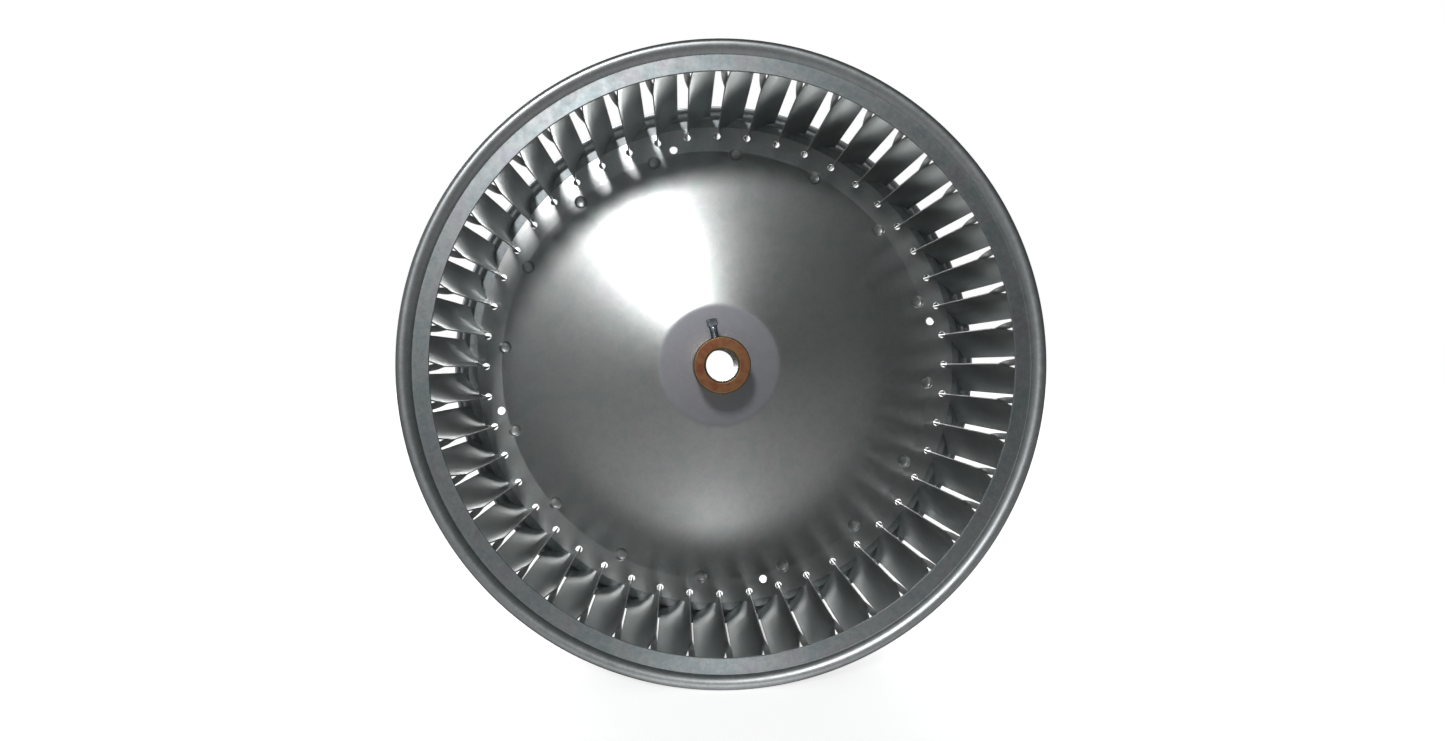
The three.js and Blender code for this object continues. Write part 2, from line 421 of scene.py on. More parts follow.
def disc_slope(radius):
    """How steeply the disc's sheet rises towards the motor side, at a radius."""
    inner = fold_share((radius - BOSS_RADIUS) / BOSS_FOLD)
    outer = fold_share((radius - CREASE_RADIUS) / CREASE_FOLD)
    return WEB_SLOPE * (inner - outer)


def disc_height(radius):
    """The middle of the disc's sheet: flat boss, conical web, flat flange and rounded folds."""
    inner = BOSS_FOLD * fold_rise((radius - BOSS_RADIUS) / BOSS_FOLD)
    outer = CREASE_FOLD * fold_rise((radius - CREASE_RADIUS) / CREASE_FOLD)
    return BOSS_FACE_Y + DISC_SHEET / 2 + WEB_SLOPE * (inner - outer)


def disc_profile():
    """Points along the middle of the disc's sheet, closest together in the folds."""
    boss_end = BOSS_RADIUS - BOSS_FOLD
    web_start = BOSS_RADIUS + BOSS_FOLD
    web_end = CREASE_RADIUS - CREASE_FOLD
    flange_start = CREASE_RADIUS + CREASE_FOLD
    stretches = (
        (DISC_HOLE_RADIUS, boss_end, 5),
        (boss_end, web_start, 16),
        (web_start, web_end, 34),
        (web_end, flange_start, 8),
        (flange_start, DISC_RADIUS, 5),
    )
    radii = []
    for start, end, steps in stretches:
        radii += [blend(start, end, i / steps) for i in range(steps)]
    radii.append(DISC_RADIUS)
    return [Vector((radius, disc_height(radius))) for radius in radii]


def post(shape, circle_radius, angle, sides):
    """A closed post along Y out of (radius, y) rings, at an angle on a circle about the axis."""
    centre = polar(circle_radius, angle)
    vertices = []
    for radius, y in shape:
        for i in range(sides):
            at = centre + polar(radius, 2 * math.pi * i / sides)
            vertices.append((at.x, y, at.y))
    last = len(vertices) - sides
    faces = [tuple(range(sides)), tuple(reversed(range(last, len(vertices))))]
    for start in range(0, last, sides):
        above = start + sides
        for i in range(sides):
            k = (i + 1) % sides
            faces.append((start + i, above + i, above + k, start + k))
    return vertices, faces


def hole_shape(radius):
    """A hole through the disc's flange, with its edges just broken on both sides."""
    edge = 0.12 * MM
    clear = 0.4 * MM
    front = FLANGE_FACE_Y
    rear = FLANGE_FACE_Y + DISC_SHEET
    return [
        (radius + edge + clear, front - clear),
        (radius, front + edge),
        (radius, rear - edge),
        (radius + edge + clear, rear + clear),
    ]


def slot_part(angle, low_y, high_y):
    """A closed prism along a blade's arc, flared where it runs out over the disc's rim."""
    steps = 12
    half = SLOT_WIDTH / 2
    shares = [SLOT_END_SHARE * i / steps for i in range(steps + 1)]
    outline = []
    for share in shares:
        opening = smooth((share - SLOT_FLARE_SHARE) / (SLOT_END_SHARE - SLOT_FLARE_SHARE))
        outline.append(ARC.at(share, half + SLOT_FLARE * opening**2))
    outline += [ARC.at(share, -half) for share in reversed(shares)]
    return prism([turned(p, angle) for p in outline], low_y, high_y)


def sheet_normals(piece):
    """Gives the disc's two broad faces the ideal sheet's normals, whatever is cut into them."""
    mesh = piece.data
    mesh.shade_smooth()
    mesh.set_sharp_from_angle(angle=math.radians(30))
    close = 0.04 * MM
    least_facing = 0.85
    normals = [Vector(corner.vector) for corner in mesh.corner_normals]
    for face in mesh.polygons:
        for corner in face.loop_indices:
            at = mesh.vertices[mesh.loops[corner].vertex_index].co
            radius = math.hypot(at.x, at.z)
            slope = disc_slope(radius)
            away = at.y - disc_height(radius)
            half = DISC_SHEET / 2 * math.sqrt(1 + slope * slope)
            side = 1 if away > 0 else -1
            on_face = abs(abs(away) - half) <= close
            if on_face and face.normal.y * side > least_facing:
                out = -side * slope / radius
                normals[corner] = Vector((out * at.x, side, out * at.z)).normalized()
    mesh.normals_split_custom_set(normals)


def centre_disc(name):
    """The pressed disc with its slots, relief holes, index holes and blind pockets."""
    outline = rounded_sheet(disc_profile(), DISC_SHEET, DISC_EDGE)
    piece = lathe(name, outline, LATHE_SEGMENTS)

    pockets = around(POCKET_COUNT, POCKET_START)
    floor_y = FLANGE_FACE_Y + POCKET_DEPTH
    bump_radius = POCKET_RADIUS + 0.8 * DISC_SHEET
    bump_top = floor_y + DISC_SHEET
    bump = [
        (bump_radius, FLANGE_FACE_Y + DISC_SHEET / 2),
        (bump_radius, bump_top - 0.9 * MM),
        (bump_radius - 0.15 * MM, bump_top - 0.45 * MM),
        (bump_radius - 0.35 * MM, bump_top - 0.15 * MM),
        (bump_radius - 0.7 * MM, bump_top),
    ]
    bumps = [post(bump, POCKET_CIRCLE_RADIUS, a, sides=40) for a in pockets]
    cut(piece, combined("bumps", bumps), "UNION")
    hollow = [
        (POCKET_RADIUS + 0.25 * MM, BOSS_FACE_Y),
        (POCKET_RADIUS + 0.25 * MM, FLANGE_FACE_Y),
        (POCKET_RADIUS + 0.05 * MM, FLANGE_FACE_Y + 0.1 * MM),
        (POCKET_RADIUS - 0.1 * MM, FLANGE_FACE_Y + 0.25 * MM),
        (POCKET_RADIUS - 0.55 * MM, floor_y - 0.3 * MM),
        (POCKET_RADIUS - 0.75 * MM, floor_y - 0.1 * MM),
        (POCKET_RADIUS - 1.05 * MM, floor_y),
    ]
    hollows = [post(hollow, POCKET_CIRCLE_RADIUS, a, sides=48) for a in pockets]
    cut(piece, combined("hollows", hollows))

    in_front = FLANGE_FACE_Y - DISC_SHEET
    behind = FLANGE_FACE_Y + 2 * DISC_SHEET
    cut(piece, combined("slots", [slot_part(a, in_front, behind) for a in BLADE_ANGLES]))

    relief = hole_shape(RELIEF_HOLE_RADIUS)
    index = hole_shape(INDEX_HOLE_RADIUS)
    index_angles = around(INDEX_HOLE_COUNT, INDEX_START)
    holes = [post(relief, BLADE_INNER_RADIUS, a, sides=32) for a in BLADE_ANGLES]
    holes += [post(index, INDEX_CIRCLE_RADIUS, a, sides=36) for a in index_angles]
    cut(piece, combined("holes", holes))
    sheet_normals(piece)
    return piece


# ---------------------------------------------------------------- blades


def blade(name, angle):
    """One blade: a curved sheet whose two inner corners are lanced into twisted tongues."""
    front_lance_y = scattered(*FRONT_LANCE_Y)
    rear_lance_y = scattered(*REAR_LANCE_Y)
    tongue_shift = scattered(*TONGUE_SHIFT)
    tongue_turn = scattered(*TONGUE_TURN)
    tongue_columns = 4
    body_columns = 22
    end_rows = 9
    middle_rows = 10
    tongue_share = TONGUE_WIDTH / ARC.length
    corner_share = ARC.share_at_radius(BLADE_CORNER_RADIUS)
    vertices = []
    faces = []

    def add(point, y):
        placed = turned(point, angle)
        vertices.append((placed.x, y, placed.y))
        return len(vertices) - 1

    def row_of(shares, y):
        return [add(ARC.at(share), y) for share in shares]

    def body_shares(inner_share):
        return [blend(inner_share, 1, i / body_columns) for i in range(body_columns + 1)]

    def bridge(first, second):
        for a, b, c, d in zip(first, first[1:], second[1:], second):
            faces.append((a, b, c, d))

    tongue_shares = [tongue_share * i / tongue_columns for i in range(tongue_columns)]
    full = [*tongue_shares, *body_shares(tongue_share)]
    rows = [
        row_of(full, blend(front_lance_y, rear_lance_y, i / middle_rows))
        for i in range(middle_rows + 1)
    ]
    for first, second in zip(rows, rows[1:]):
        bridge(first, second)

    start_middle = ARC.at(tongue_share / 2)
    start_along = (ARC.at(tongue_share) - ARC.at(0)).normalized()
    start_lean = math.atan2(start_along.y, start_along.x)
    end_middle = Vector((TONGUE_END_RADIUS, tongue_shift))
    ends = (
        (front_lance_y, -BLADE_HALF_LENGTH, rows[0]),
        (rear_lance_y, BLADE_HALF_LENGTH, rows[-1]),
    )
    for lance_y, end_y, root in ends:
        tongue_before = root[: tongue_columns + 1]
        body_before = root[tongue_columns:]
        for i in range(1, end_rows + 1):
            share = i / end_rows
            y = blend(lance_y, end_y, share)
            lean = start_lean - tongue_turn * smooth(share**0.8)
            across = polar(TONGUE_WIDTH, lean)
            middle = start_middle.lerp(end_middle, share)
            tongue = [
                add(middle + across * (k / tongue_columns - 0.5), y)
                for k in range(tongue_columns + 1)
            ]
            body = row_of(body_shares(blend(tongue_share, corner_share, share)), y)
            bridge(tongue_before, tongue)
            bridge(body_before, body)
            tongue_before = tongue
            body_before = body

    piece = mesh_object(name, vertices, faces, sharp_angle=math.radians(50))
    thicken = piece.modifiers.new("sheet", "SOLIDIFY")
    thicken.thickness = BLADE_SHEET
    thicken.offset = 0
    thicken.use_even_offset = True
    round_edges(piece, BLADE_EDGE, math.radians(60))
    even_normals(piece)
    return piece


# ---------------------------------------------------------------- hub and set screw


def softened(corners, distance):
    """A closed outline with each corner rounded by a short curve, and held flat beside it."""
    points = []
    for i, corner in enumerate(corners):
        before = corners[i - 1]
        after = corners[(i + 1) % len(corners)]
        side = (after - corner).length
        reach = min(distance, (before - corner).length / 3, side / 3)
        start = corner + (before - corner).normalized() * reach
        end = corner + (after - corner).normalized() * reach
        for share in (0, 0.25, 0.5, 0.75, 1):
            first = start.lerp(corner, share)
            second = corner.lerp(end, share)
            points.append(first.lerp(second, share))
        if side > 8 * reach:
            hold = (after - corner).normalized() * reach * 2.5
            points += [corner + hold, after - hold]
    return points


def screw_frame():
    """Lays local Z along the set screw, outwards from the wheel's axis."""
    out = Vector((math.cos(SCREW_ANGLE), 0, math.sin(SCREW_ANGLE)))
    across = Vector((0, 1, 0))
    turn = Matrix((across.cross(out), across, out)).transposed().to_4x4()
    return Matrix.Translation((0, SCREW_Y, 0)) @ turn


def stacked_rings(name, rings, sides, sharp_angle):
    """A closed body along the screw out of (height, radius) rings, or one radius for each side."""
    place = screw_frame()
    vertices = []
    for height, radii in rings:
        for i in range(sides):
            radius = radii[i] if isinstance(radii, list) else radii
            angle = 2 * math.pi * i / sides
            local = Vector((radius * math.cos(angle), radius * math.sin(angle), height))
            vertices.append(tuple(place @ local))
    last = len(vertices) - sides
    faces = []
    for start in range(0, last, sides):
        above = start + sides
        for i in range(sides):
            k = (i + 1) % sides
            faces.append((start + i, start + k, above + k, above + i))
    for start in (0, last):
        faces.append(tuple(range(start, start + sides)))
    return mesh_object(name, vertices, faces, sharp_angle)


def hub(name):
    """A turned bush with a shoulder, staked to the disc behind it, with a tapped radial hole."""
    shoulder_y = BOSS_FACE_Y - STAKE_GAP
    stake_y = BOSS_FACE_Y + DISC_SHEET + STAKE_GAP
    stake_end = stake_y + STAKE_LENGTH
    corners = [
        (BORE_RADIUS, HUB_FRONT_Y + BORE_CHAMFER),
        (BORE_RADIUS + BORE_CHAMFER, HUB_FRONT_Y),
        (HUB_RADIUS - HUB_CHAMFER, HUB_FRONT_Y),
        (HUB_RADIUS, HUB_FRONT_Y + HUB_CHAMFER),
        (HUB_RADIUS, shoulder_y),
        (SPIGOT_RADIUS, shoulder_y),
        (SPIGOT_RADIUS, stake_y),
        (STAKE_RADIUS, stake_y),
        (STAKE_RADIUS, stake_end - HUB_CHAMFER),
        (STAKE_RADIUS - HUB_CHAMFER, stake_end),
        (SPIGOT_RADIUS, stake_end),
        (SPIGOT_RADIUS, HUB_REAR_Y - HUB_CHAMFER),
        (SPIGOT_RADIUS - HUB_CHAMFER, HUB_REAR_Y),
        (BORE_RADIUS + BORE_CHAMFER, HUB_REAR_Y),
        (BORE_RADIUS, HUB_REAR_Y - BORE_CHAMFER),
    ]
    outline = softened([Vector(corner) for corner in corners], HUB_CORNER)
    piece = lathe(name, outline, segments=160, sharp_angle=math.radians(60))

    hole_radius = SCREW_RADIUS + 0.1 * MM
    flare = 0.45 * MM
    hole = [
        (BORE_RADIUS / 2, hole_radius),
        (HUB_RADIUS - flare, hole_radius),
        (HUB_RADIUS + flare / 2, hole_radius + 1.5 * flare),
    ]
    cut(piece, stacked_rings("tapped_hole", hole, sides=48, sharp_angle=SHARP_ANGLE))
    piece.data.shade_smooth()
    piece.data.set_sharp_from_angle(angle=math.radians(40))
    even_normals(piece)
    return piece


def thread_radius(height, turn):
    """The thread's radius at a height on the screw and a share of a turn around it."""
    phase = (height / THREAD_PITCH - turn) % 1
    flank = (abs(2 * phase - 1) - THREAD_CREST_SHARE) / THREAD_FLANK_SHARE
    return blend(SCREW_RADIUS, THREAD_ROOT, min(max(flank, 0), 1))


def head_radius(turn, inset=0.0, limit=math.inf):
    """The square head's radius at a share of a turn, with its corners cut back to a limit."""
    angle = 2 * math.pi * turn - SCREW_HEAD_TWIST
    off_flat = max(abs(math.cos(angle)), abs(math.sin(angle)))
    return min((SCREW_HEAD_WIDTH / 2 - inset) / off_flat, HEAD_CORNER_RADIUS - inset, limit)


def set_screw(name):
    """A square-headed set screw: cup point, rolled thread and a head with turned-down corners."""
    sides = 96
    turns = [i / sides for i in range(sides)]
    tip_radius = CUP_RADIUS + CUP_RIM
    rings = [(SCREW_TIP + CUP_DEPTH * (1 - s), CUP_RADIUS * s) for s in (0.12, 0.5, 1.0)]
    rings.append((SCREW_TIP, tip_radius))

    thread_steps = 150
    lead_slope = 1.1
    underside = SCREW_TOP - SCREW_HEAD_HEIGHT
    thread_end = underside - 0.9 * MM
    for j in range(thread_steps + 1):
        height = blend(SCREW_TIP, thread_end, j / thread_steps)
        lead = tip_radius + (height - SCREW_TIP) * lead_slope
        run_out = smooth((thread_end - height) / (0.8 * THREAD_PITCH))
        radii = [
            min(lead, blend(SCREW_NECK_RADIUS, thread_radius(height, turn), run_out))
            for turn in turns
        ]
        off_the_tip = 0.001 * MM if j == 0 else 0
        rings.append((height + off_the_tip, radii))
    rings.append((underside - 0.1 * MM, SCREW_NECK_RADIUS))
    rings.append((underside, SCREW_NECK_RADIUS + 0.1 * MM))

    for rise, inset in ((0, 1), (1 / 3, 1 / 3), (1, 0)):
        radii = [head_radius(turn, SCREW_HEAD_EDGE * inset) for turn in turns]
        rings.append((underside + SCREW_HEAD_EDGE * rise, radii))
    chamfer_start = SCREW_TOP - (HEAD_CORNER_RADIUS - HEAD_TOP_RADIUS) / HEAD_CHAMFER_SLOPE
    for share in (0.0, 0.2, 0.4, 0.6, 0.8, 1.0):
        height = blend(chamfer_start, SCREW_TOP, share)
        limit = HEAD_TOP_RADIUS + (SCREW_TOP - height) * HEAD_CHAMFER_SLOPE
        rings.append((height, [head_radius(turn, limit=limit) for turn in turns]))
    rings.append((SCREW_TOP, SCREW_HEAD_WIDTH / 4))
    return stacked_rings(name, rings, sides, math.radians(28))


# ---------------------------------------------------------------- materials


WHITE = (1.0, 1.0, 1.0, 1)

# Tints of the mottled sheet: light, cool, violet, green
RING_TINTS = (
    (0.36, 0.38, 0.38),
    (0.30, 0.34, 0.36),
    (0.33, 0.33, 0.36),
    (0.29, 0.33, 0.31),
)
SHEET_TINTS = (
    (0.56, 0.57, 0.56),
    (0.51, 0.54, 0.54),
    (0.54, 0.53, 0.55),
    (0.50, 0.54, 0.50),
)
BEAD_ZONE = (136.3 * MM, 137.6 * MM, (0.50, 0.52, 0.53), -0.09)
BOSS_ZONE = (32.5 * MM, 31.5 * MM, (0.43, 0.43, 0.47), 0.08)
BLADE_ZONE = (BLADE_INNER_RADIUS, BLADE_OUTER_RADIUS, (0.53, 0.55, 0.55), 0.02)

CHROMATE_STOPS = (
    (0.30, (0.34, 0.10, 0.06)),
    (0.42, (0.38, 0.15, 0.08)),
    (0.52, (0.42, 0.20, 0.10)),
    (0.60, (0.34, 0.18, 0.08)),
    (0.72, (0.40, 0.12, 0.08)),
)
# Painted highlight: lighter gold on the hub's rims. Painted shade: dark brown on the bore wall
CHROMATE_RIM_HIGHLIGHT_TINT = (0.60, 0.46, 0.24)
BORE_SHADE_TINT = (0.16, 0.14, 0.12)
ZINC_STOPS = (
    (0.35, (0.52, 0.60, 0.70)),
    (0.5, (0.70, 0.76, 0.83)),
    (0.7, (0.80, 0.82, 0.84)),
)


def grey(level):
    return (level, level, level)


def set_socket(tree, socket, value):
    """Gives an input socket another node's output, or a plain value."""
    if isinstance(value, bpy.types.NodeSocket):
        tree.links.new(value, socket)
    else:
        socket.default_value = value


def add_node(tree, kind, inputs=None, **settings):
    """A node with its settings and inputs."""
    made = tree.nodes.new(kind)
    for name, value in settings.items():
        setattr(made, name, value)
    for name, value in (inputs or {}).items():
        set_socket(tree, made.inputs[name], value)
    return made


def new_material(name):
    """A node material, with its tree, its shader and the object's own coordinates."""
    material = bpy.data.materials.new(name)
    material.use_nodes = True
    tree = material.node_tree
    shader = tree.nodes["Principled BSDF"]
    coordinates = add_node(tree, "ShaderNodeTexCoord").outputs["Object"]
    return material, tree, shader, coordinates


def noise(tree, coordinates, scale, detail, roughness, distortion=0.0):
    inputs = {
        "Vector": coordinates,
        "Scale": scale,
        "Detail": detail,
        "Roughness": roughness,
        "Distortion": distortion,
    }
    return add_node(tree, "ShaderNodeTexNoise", inputs).outputs["Fac"]


def ramp(tree, factor, stops, interpolation="LINEAR"):
    """A colour ramp out of (position, colour) stops."""
    made = add_node(tree, "ShaderNodeValToRGB", {"Fac": factor})
    made.color_ramp.interpolation = interpolation
    elements = made.color_ramp.elements
    while len(elements) < len(stops):
        elements.new(0.5)
    for element, (position, colour) in zip(elements, stops):
        element.position = position
        element.color = (*colour, 1)
    return made.outputs["Color"]


def remap(tree, value, low, high, to_low=0.0, to_high=1.0):
    """Carries a value from one range to another, and holds it inside the second."""
    inputs = {
        "Value": value,
        "From Min": low,
        "From Max": high,
        "To Min": to_low,
        "To Max": to_high,
    }
    return add_node(tree, "ShaderNodeMapRange", inputs).outputs["Result"]


def arithmetic(tree, operation, first, second=0.0):
    """A Math node. The second value is left out for an operation on one value."""
    made = add_node(tree, "ShaderNodeMath", operation=operation)
    for socket, value in zip(made.inputs, (first, second)):
        set_socket(tree, socket, value)
    return made.outputs["Value"]


def mixed(tree, blend_type, factor, first, second):
    """Mixes two colours."""
    made = add_node(tree, "ShaderNodeMix", data_type="RGBA", blend_type=blend_type)
    for name, value in (("Factor_Float", factor), ("A_Color", first), ("B_Color", second)):
        socket = next(s for s in made.inputs if s.identifier == name)
        set_socket(tree, socket, value)
    return next(s for s in made.outputs if s.identifier == "Result_Color")


def bumped(tree, height, strength, distance, base=None):
    """Normals tilted by a height, on top of the base normals if there are any."""
    inputs = {"Height": height, "Strength": strength, "Distance": distance}
    if base is not None:
        inputs["Normal"] = base
    return add_node(tree, "ShaderNodeBump", inputs).outputs["Normal"]


def radius_of(tree, coordinates):
    """Distance from the wheel's axis."""
    parts = add_node(tree, "ShaderNodeSeparateXYZ", {"Vector": coordinates}).outputs
    across = arithmetic(tree, "POWER", parts["X"], 2.0)
    up = arithmetic(tree, "POWER", parts["Z"], 2.0)
    return arithmetic(tree, "SQRT", arithmetic(tree, "ADD", across, up))


def galvanised(name, tints, roughness, mottling, grain_depth, waviness, zone):
    """Zinc-coated sheet: mottled tints, fine grain, and a slightly uneven surface.

    zone is (start radius, full radius, tint, change of roughness): the tint and the change of
    roughness come in from the first radius to the second.
    """
    material, tree, shader, coordinates = new_material(name)
    light, cool, violet, green = tints
    zone_start, zone_end, zone_tint, zone_change = zone
    in_zone = remap(tree, radius_of(tree, coordinates), zone_start, zone_end)

    cloud = noise(tree, coordinates, scale=95, detail=6, roughness=0.68, distortion=0.3)
    stops = [(0.28, green), (0.42, cool), (0.52, light), (0.62, violet), (0.75, cool)]
    tone = ramp(tree, cloud, stops)
    fine = noise(tree, coordinates, scale=1500, detail=3, roughness=0.7)
    flake = noise(tree, coordinates, scale=520, detail=2, roughness=0.5, distortion=0.8)
    flecks = arithmetic(tree, "ADD", flake, fine)
    shade = remap(tree, flecks, 0.7, 1.3, 1 - mottling, 1 + mottling)
    tone = mixed(tree, "MIX", in_zone, tone, (*zone_tint, 1))
    tone = mixed(tree, "MULTIPLY", 1.0, tone, shade)

    patches = noise(tree, coordinates, scale=210, detail=3, roughness=0.6)
    uneven = arithmetic(tree, "ADD", patches, arithmetic(tree, "MULTIPLY", fine, 0.5))
    spread = 0.25 * mottling
    rough = remap(tree, uneven, 0.55, 0.95, roughness - spread, roughness + spread)
    change = arithmetic(tree, "MULTIPLY", in_zone, zone_change)

    wave = noise(tree, coordinates, scale=26, detail=2, roughness=0.5)
    broad = bumped(tree, wave, strength=1.0, distance=waviness)
    grain = bumped(tree, fine, strength=0.6, distance=grain_depth, base=broad)
    set_socket(tree, shader.inputs["Base Color"], tone)
    set_socket(tree, shader.inputs["Roughness"], arithmetic(tree, "ADD", rough, change))
    set_socket(tree, shader.inputs["Normal"], grain)
    set_socket(tree, shader.inputs["Metallic"], 0.97)
    return material


def yellow_chromate(name):
    """Turned steel under a chromate film that drifts between gold, brown, red and green, with a
    painted highlight in lighter gold on its rims and painted shade on its bore wall.
    """
    material, tree, shader, coordinates = new_material(name)
    film = noise(tree, coordinates, scale=120, detail=5, roughness=0.6, distortion=1.2)
    tone = ramp(tree, film, CHROMATE_STOPS)
    radius = radius_of(tree, coordinates)
    # Painted highlight: lighter gold over the outer rim and the bore's chamfer, all around
    outer_rim_highlight = remap(tree, radius, HUB_RADIUS - 0.9 * MM, HUB_RADIUS - 0.5 * MM)
    bore_rim_highlight = remap(tree, radius, BORE_RADIUS + 1.3 * MM, BORE_RADIUS + 0.8 * MM)
    rim_highlight = arithmetic(tree, "ADD", outer_rim_highlight, bore_rim_highlight)
    # Painted shade: the bore wall darkened to dark brown
    bore_shade = remap(tree, radius, BORE_RADIUS + 0.2 * MM, BORE_RADIUS + 0.05 * MM)
    tone = mixed(tree, "MIX", rim_highlight, tone, (*CHROMATE_RIM_HIGHLIGHT_TINT, 1))
    tone = mixed(tree, "MIX", bore_shade, tone, (*BORE_SHADE_TINT, 1))
    pits = noise(tree, coordinates, scale=2600, detail=3, roughness=0.7)
    set_socket(tree, shader.inputs["Base Color"], tone)
    set_socket(tree, shader.inputs["Roughness"], remap(tree, film, 0.3, 0.7, 0.34, 0.44))
    pitted = bumped(tree, pits, strength=0.5, distance=0.012 * MM)
    set_socket(tree, shader.inputs["Normal"], pitted)
    set_socket(tree, shader.inputs["Metallic"], 0.95)
    return material


def bright_zinc(name):
    """Bright zinc plate on the set screw: bluish, shiny, with a few duller patches."""
    material, tree, shader, coordinates = new_material(name)
    patches = noise(tree, coordinates, scale=450, detail=4, roughness=0.6)
    pits = noise(tree, coordinates, scale=3200, detail=3, roughness=0.7)
    set_socket(tree, shader.inputs["Base Color"], ramp(tree, patches, ZINC_STOPS))
    set_socket(tree, shader.inputs["Roughness"], remap(tree, patches, 0.3, 0.7, 0.14, 0.3))
    pitted = bumped(tree, pits, strength=0.4, distance=0.015 * MM)
    set_socket(tree, shader.inputs["Normal"], pitted)
    set_socket(tree, shader.inputs["Metallic"], 1.0)
    return material


# ---------------------------------------------------------------- the wheel


def place(piece, body, node_name, slot, material):
    """Gives a piece its material and its body, in place of a node of the frame."""
    piece.data.materials.clear()
    piece.data.materials.append(material)
    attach(piece, body)
    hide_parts(node_name)


ring_metal = galvanised(
    "galvanised_ring",
    RING_TINTS,
    roughness=0.44,
    mottling=0.12,
    grain_depth=0.010 * MM,
    waviness=0.10 * MM,
    zone=BEAD_ZONE,
)
disc_metal = galvanised(
    "galvanised_disc",
    SHEET_TINTS,
    roughness=0.285,
    mottling=0.04,
    grain_depth=0.006 * MM,
    waviness=0.06 * MM,
    zone=BOSS_ZONE,
)
blade_metal = galvanised(
    "galvanised_blade",
    SHEET_TINTS,
    roughness=0.37,
    mottling=0.05,
    grain_depth=0.006 * MM,
    waviness=0.05 * MM,
    zone=BLADE_ZONE,
)
chromate = yellow_chromate("chromate")
zinc = bright_zinc("zinc")

place(end_ring("front_ring_sheet", -1), "wheel", "front_ring", "galvanised_rings", ring_metal)
place(end_ring("rear_ring_sheet", 1), "wheel", "rear_ring", "galvanised_rings", ring_metal)
place(centre_disc("disc_sheet"), "wheel", "centre_disc", "galvanised_disc", disc_metal)
place(hub("turned_hub"), "wheel", "hub", "hub_yellow_chromate", chromate)
place(set_screw("square_set_screw"), "set_screw", "set_screw", "screw_bright_zinc", zinc)
for index, angle in enumerate(BLADE_ANGLES, 1):
    piece = blade(f"blade_sheet_{index:02d}", angle)
    place(piece, "wheel", f"blade_{index:02d}", "galvanised_blades", blade_metal)


# ---------------------------------------------------------------- studio

# Floor: what the metal sees of it is a painted pool of light, given as (share of its radius,
# level) stops, which fades out towards the wheel between two depths as a painted shadow
FLOOR_HALF_SIZE = 6.0
FLOOR_GLOW = 0.75
POOL_CENTRE = (0.0, -0.075, -WHEEL_RADIUS)
POOL_RADIUS = 0.45
POOL_STOPS = ((0.0, 1.8), (0.11, 0.60), (0.24, 0.34), (0.45, 0.28), (1.0, 0.12))
POOL_BACK_Y = (-0.04, -0.07)

# Surroundings: a spread is two cosines of the angle from its direction, from dark to full
ROOM_TONE = (0.080, 0.087, 0.083)
WALL_DIRECTION = (-0.95, -0.3, 0.05)
WALL_SPREAD = (0.35, 0.75)
WALL_TONE = (0.14, 0.145, 0.15)
WINDOW_DIRECTIONS = ((0.09, 0.94, 0.33), (-0.2, 0.94, 0.28))
WINDOW_SPREAD = (0.952, 0.98)
WINDOW_TONE = (7.4, 7.5, 7.4)

# Key light
KEY_DIRECTION = (-0.163, -0.9135, 0.372)
KEY_DISTANCE = 1.3
KEY_SIZE = (0.15, 0.22)
KEY_ROLL = math.radians(30)
KEY_POWER = 3.9

# Camera: the lens and the sensor are in millimetres
CAMERA_PLACE = (-20.8 * MM, -405.7 * MM, -0.9 * MM)
CAMERA_DIRECTION = (0.052, 0.9986, -0.0043)
CAMERA_LENS = 20.3
CAMERA_SENSOR = 36


def pale_floor(name):
    """White paint to the camera. To the metal it is painted dark, as painted shade, with a painted
    pool of light glowing by the wheel.
    """
    material, tree, shader, coordinates = new_material(name)
    path = add_node(tree, "ShaderNodeLightPath").outputs
    cloud = noise(tree, coordinates, scale=3, detail=3, roughness=0.5)
    tone = ramp(tree, cloud, [(0.3, grey(0.86)), (0.7, grey(0.90))])
    # Painted shade: every ray but the camera's sees the floor dark grey
    tone = mixed(tree, "MIX", path["Is Camera Ray"], (*grey(0.10), 1), tone)

    from_pool = add_node(
        tree, "ShaderNodeVectorMath", {0: coordinates, 1: POOL_CENTRE}, operation="DISTANCE"
    ).outputs["Value"]
    away = remap(tree, from_pool, 0.0, POOL_RADIUS)
    # Painted pool of light: a glow that only reflections see
    painted_light_pool = ramp(tree, away, [(share, grey(level)) for share, level in POOL_STOPS])
    depth = add_node(tree, "ShaderNodeSeparateXYZ", {"Vector": coordinates}).outputs["Y"]
    # Painted shadow: the pool fades out towards the wheel and behind it
    painted_light_pool = arithmetic(tree, "MULTIPLY", painted_light_pool, remap(tree, depth, *POOL_BACK_Y))
    mirrored = arithmetic(tree, "MULTIPLY", path["Is Glossy Ray"], painted_light_pool)
    seen = arithmetic(tree, "MULTIPLY", path["Is Camera Ray"], FLOOR_GLOW)
    glow = arithmetic(tree, "ADD", mirrored, seen)

    set_socket(tree, shader.inputs["Base Color"], tone)
    set_socket(tree, shader.inputs["Roughness"], 0.8)
    set_socket(tree, shader.inputs["Emission Color"], WHITE)
    set_socket(tree, shader.inputs["Emission Strength"], glow)
    return material


def studio_floor():
    """A pale floor that the wheel stands on."""
    size = FLOOR_HALF_SIZE
    z = -WHEEL_RADIUS
    corners = [(-size, -size, z), (size, -size, z), (size, size, z), (-size, size, z)]
    floor = mesh_object("studio_floor", corners, [(0, 1, 2, 3)])
    floor.data.materials.append(pale_floor("floor_paint_and_painted_light"))


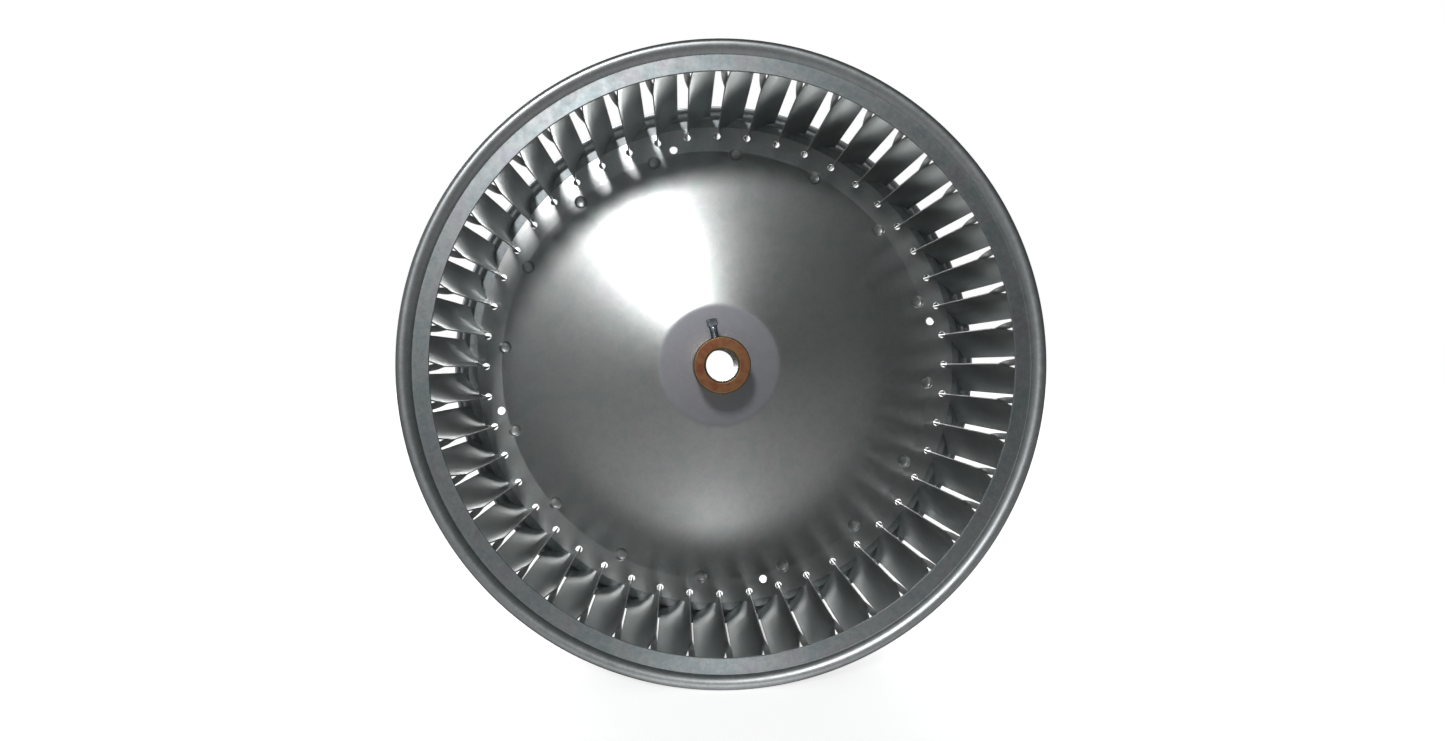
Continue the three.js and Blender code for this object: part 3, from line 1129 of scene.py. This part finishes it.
def key_light():
    """An oval softbox above and to the left of the camera, aimed at the wheel's centre."""
    data = bpy.data.lights.new("key", "AREA")
    data.shape = "ELLIPSE"
    data.size, data.size_y = KEY_SIZE
    data.energy = KEY_POWER
    light = bpy.data.objects.new("key", data)
    light.location = Vector(KEY_DIRECTION).normalized() * KEY_DISTANCE
    light.rotation_mode = "QUATERNION"
    aimed = Vector(KEY_DIRECTION).to_track_quat("Z", "Y")
    light.rotation_quaternion = aimed @ Quaternion((0, 0, 1), KEY_ROLL)
    bpy.context.scene.collection.objects.link(light)


def surroundings():
    """White surroundings to the camera. The metal sees a dim room, a wall and two windows."""
    world = bpy.data.worlds.new("studio_world")
    world.use_nodes = True
    tree = world.node_tree
    background = tree.nodes["Background"]
    seen = add_node(tree, "ShaderNodeLightPath").outputs["Is Camera Ray"]
    direction = add_node(tree, "ShaderNodeTexCoord").outputs["Generated"]

    def lobe(towards, spread, tone):
        """A soft patch of light around a direction."""
        cosine = add_node(
            tree, "ShaderNodeVectorMath", {0: direction, 1: towards}, operation="DOT_PRODUCT"
        ).outputs["Value"]
        start, end = spread
        return ramp(tree, cosine, [(start, grey(0)), (end, tone)], "EASE")

    wall = lobe(WALL_DIRECTION, WALL_SPREAD, WALL_TONE)
    room = mixed(tree, "ADD", 1.0, wall, (*ROOM_TONE, 1))
    for towards in WINDOW_DIRECTIONS:
        window = lobe(towards, WINDOW_SPREAD, WINDOW_TONE)
        room = mixed(tree, "LIGHTEN", 1.0, room, window)
    tone = mixed(tree, "MIX", seen, room, WHITE)
    set_socket(tree, background.inputs["Color"], tone)
    set_socket(tree, background.inputs["Strength"], 1.0)
    bpy.context.scene.world = world


def camera():
    """Looks into the inlet from close in front, a little to the left of the axis."""
    data = bpy.data.cameras.new("camera")
    data.sensor_width = CAMERA_SENSOR
    data.lens = CAMERA_LENS
    data.clip_start = 0.01
    data.clip_end = 50
    view = bpy.data.objects.new("camera", data)
    view.location = CAMERA_PLACE
    view.rotation_mode = "QUATERNION"
    view.rotation_quaternion = Vector(CAMERA_DIRECTION).to_track_quat("-Z", "Y")
    bpy.context.scene.collection.objects.link(view)
    bpy.context.scene.camera = view


studio_floor()
surroundings()
key_light()
camera()

bpy.context.scene.view_settings.view_transform = "Standard"
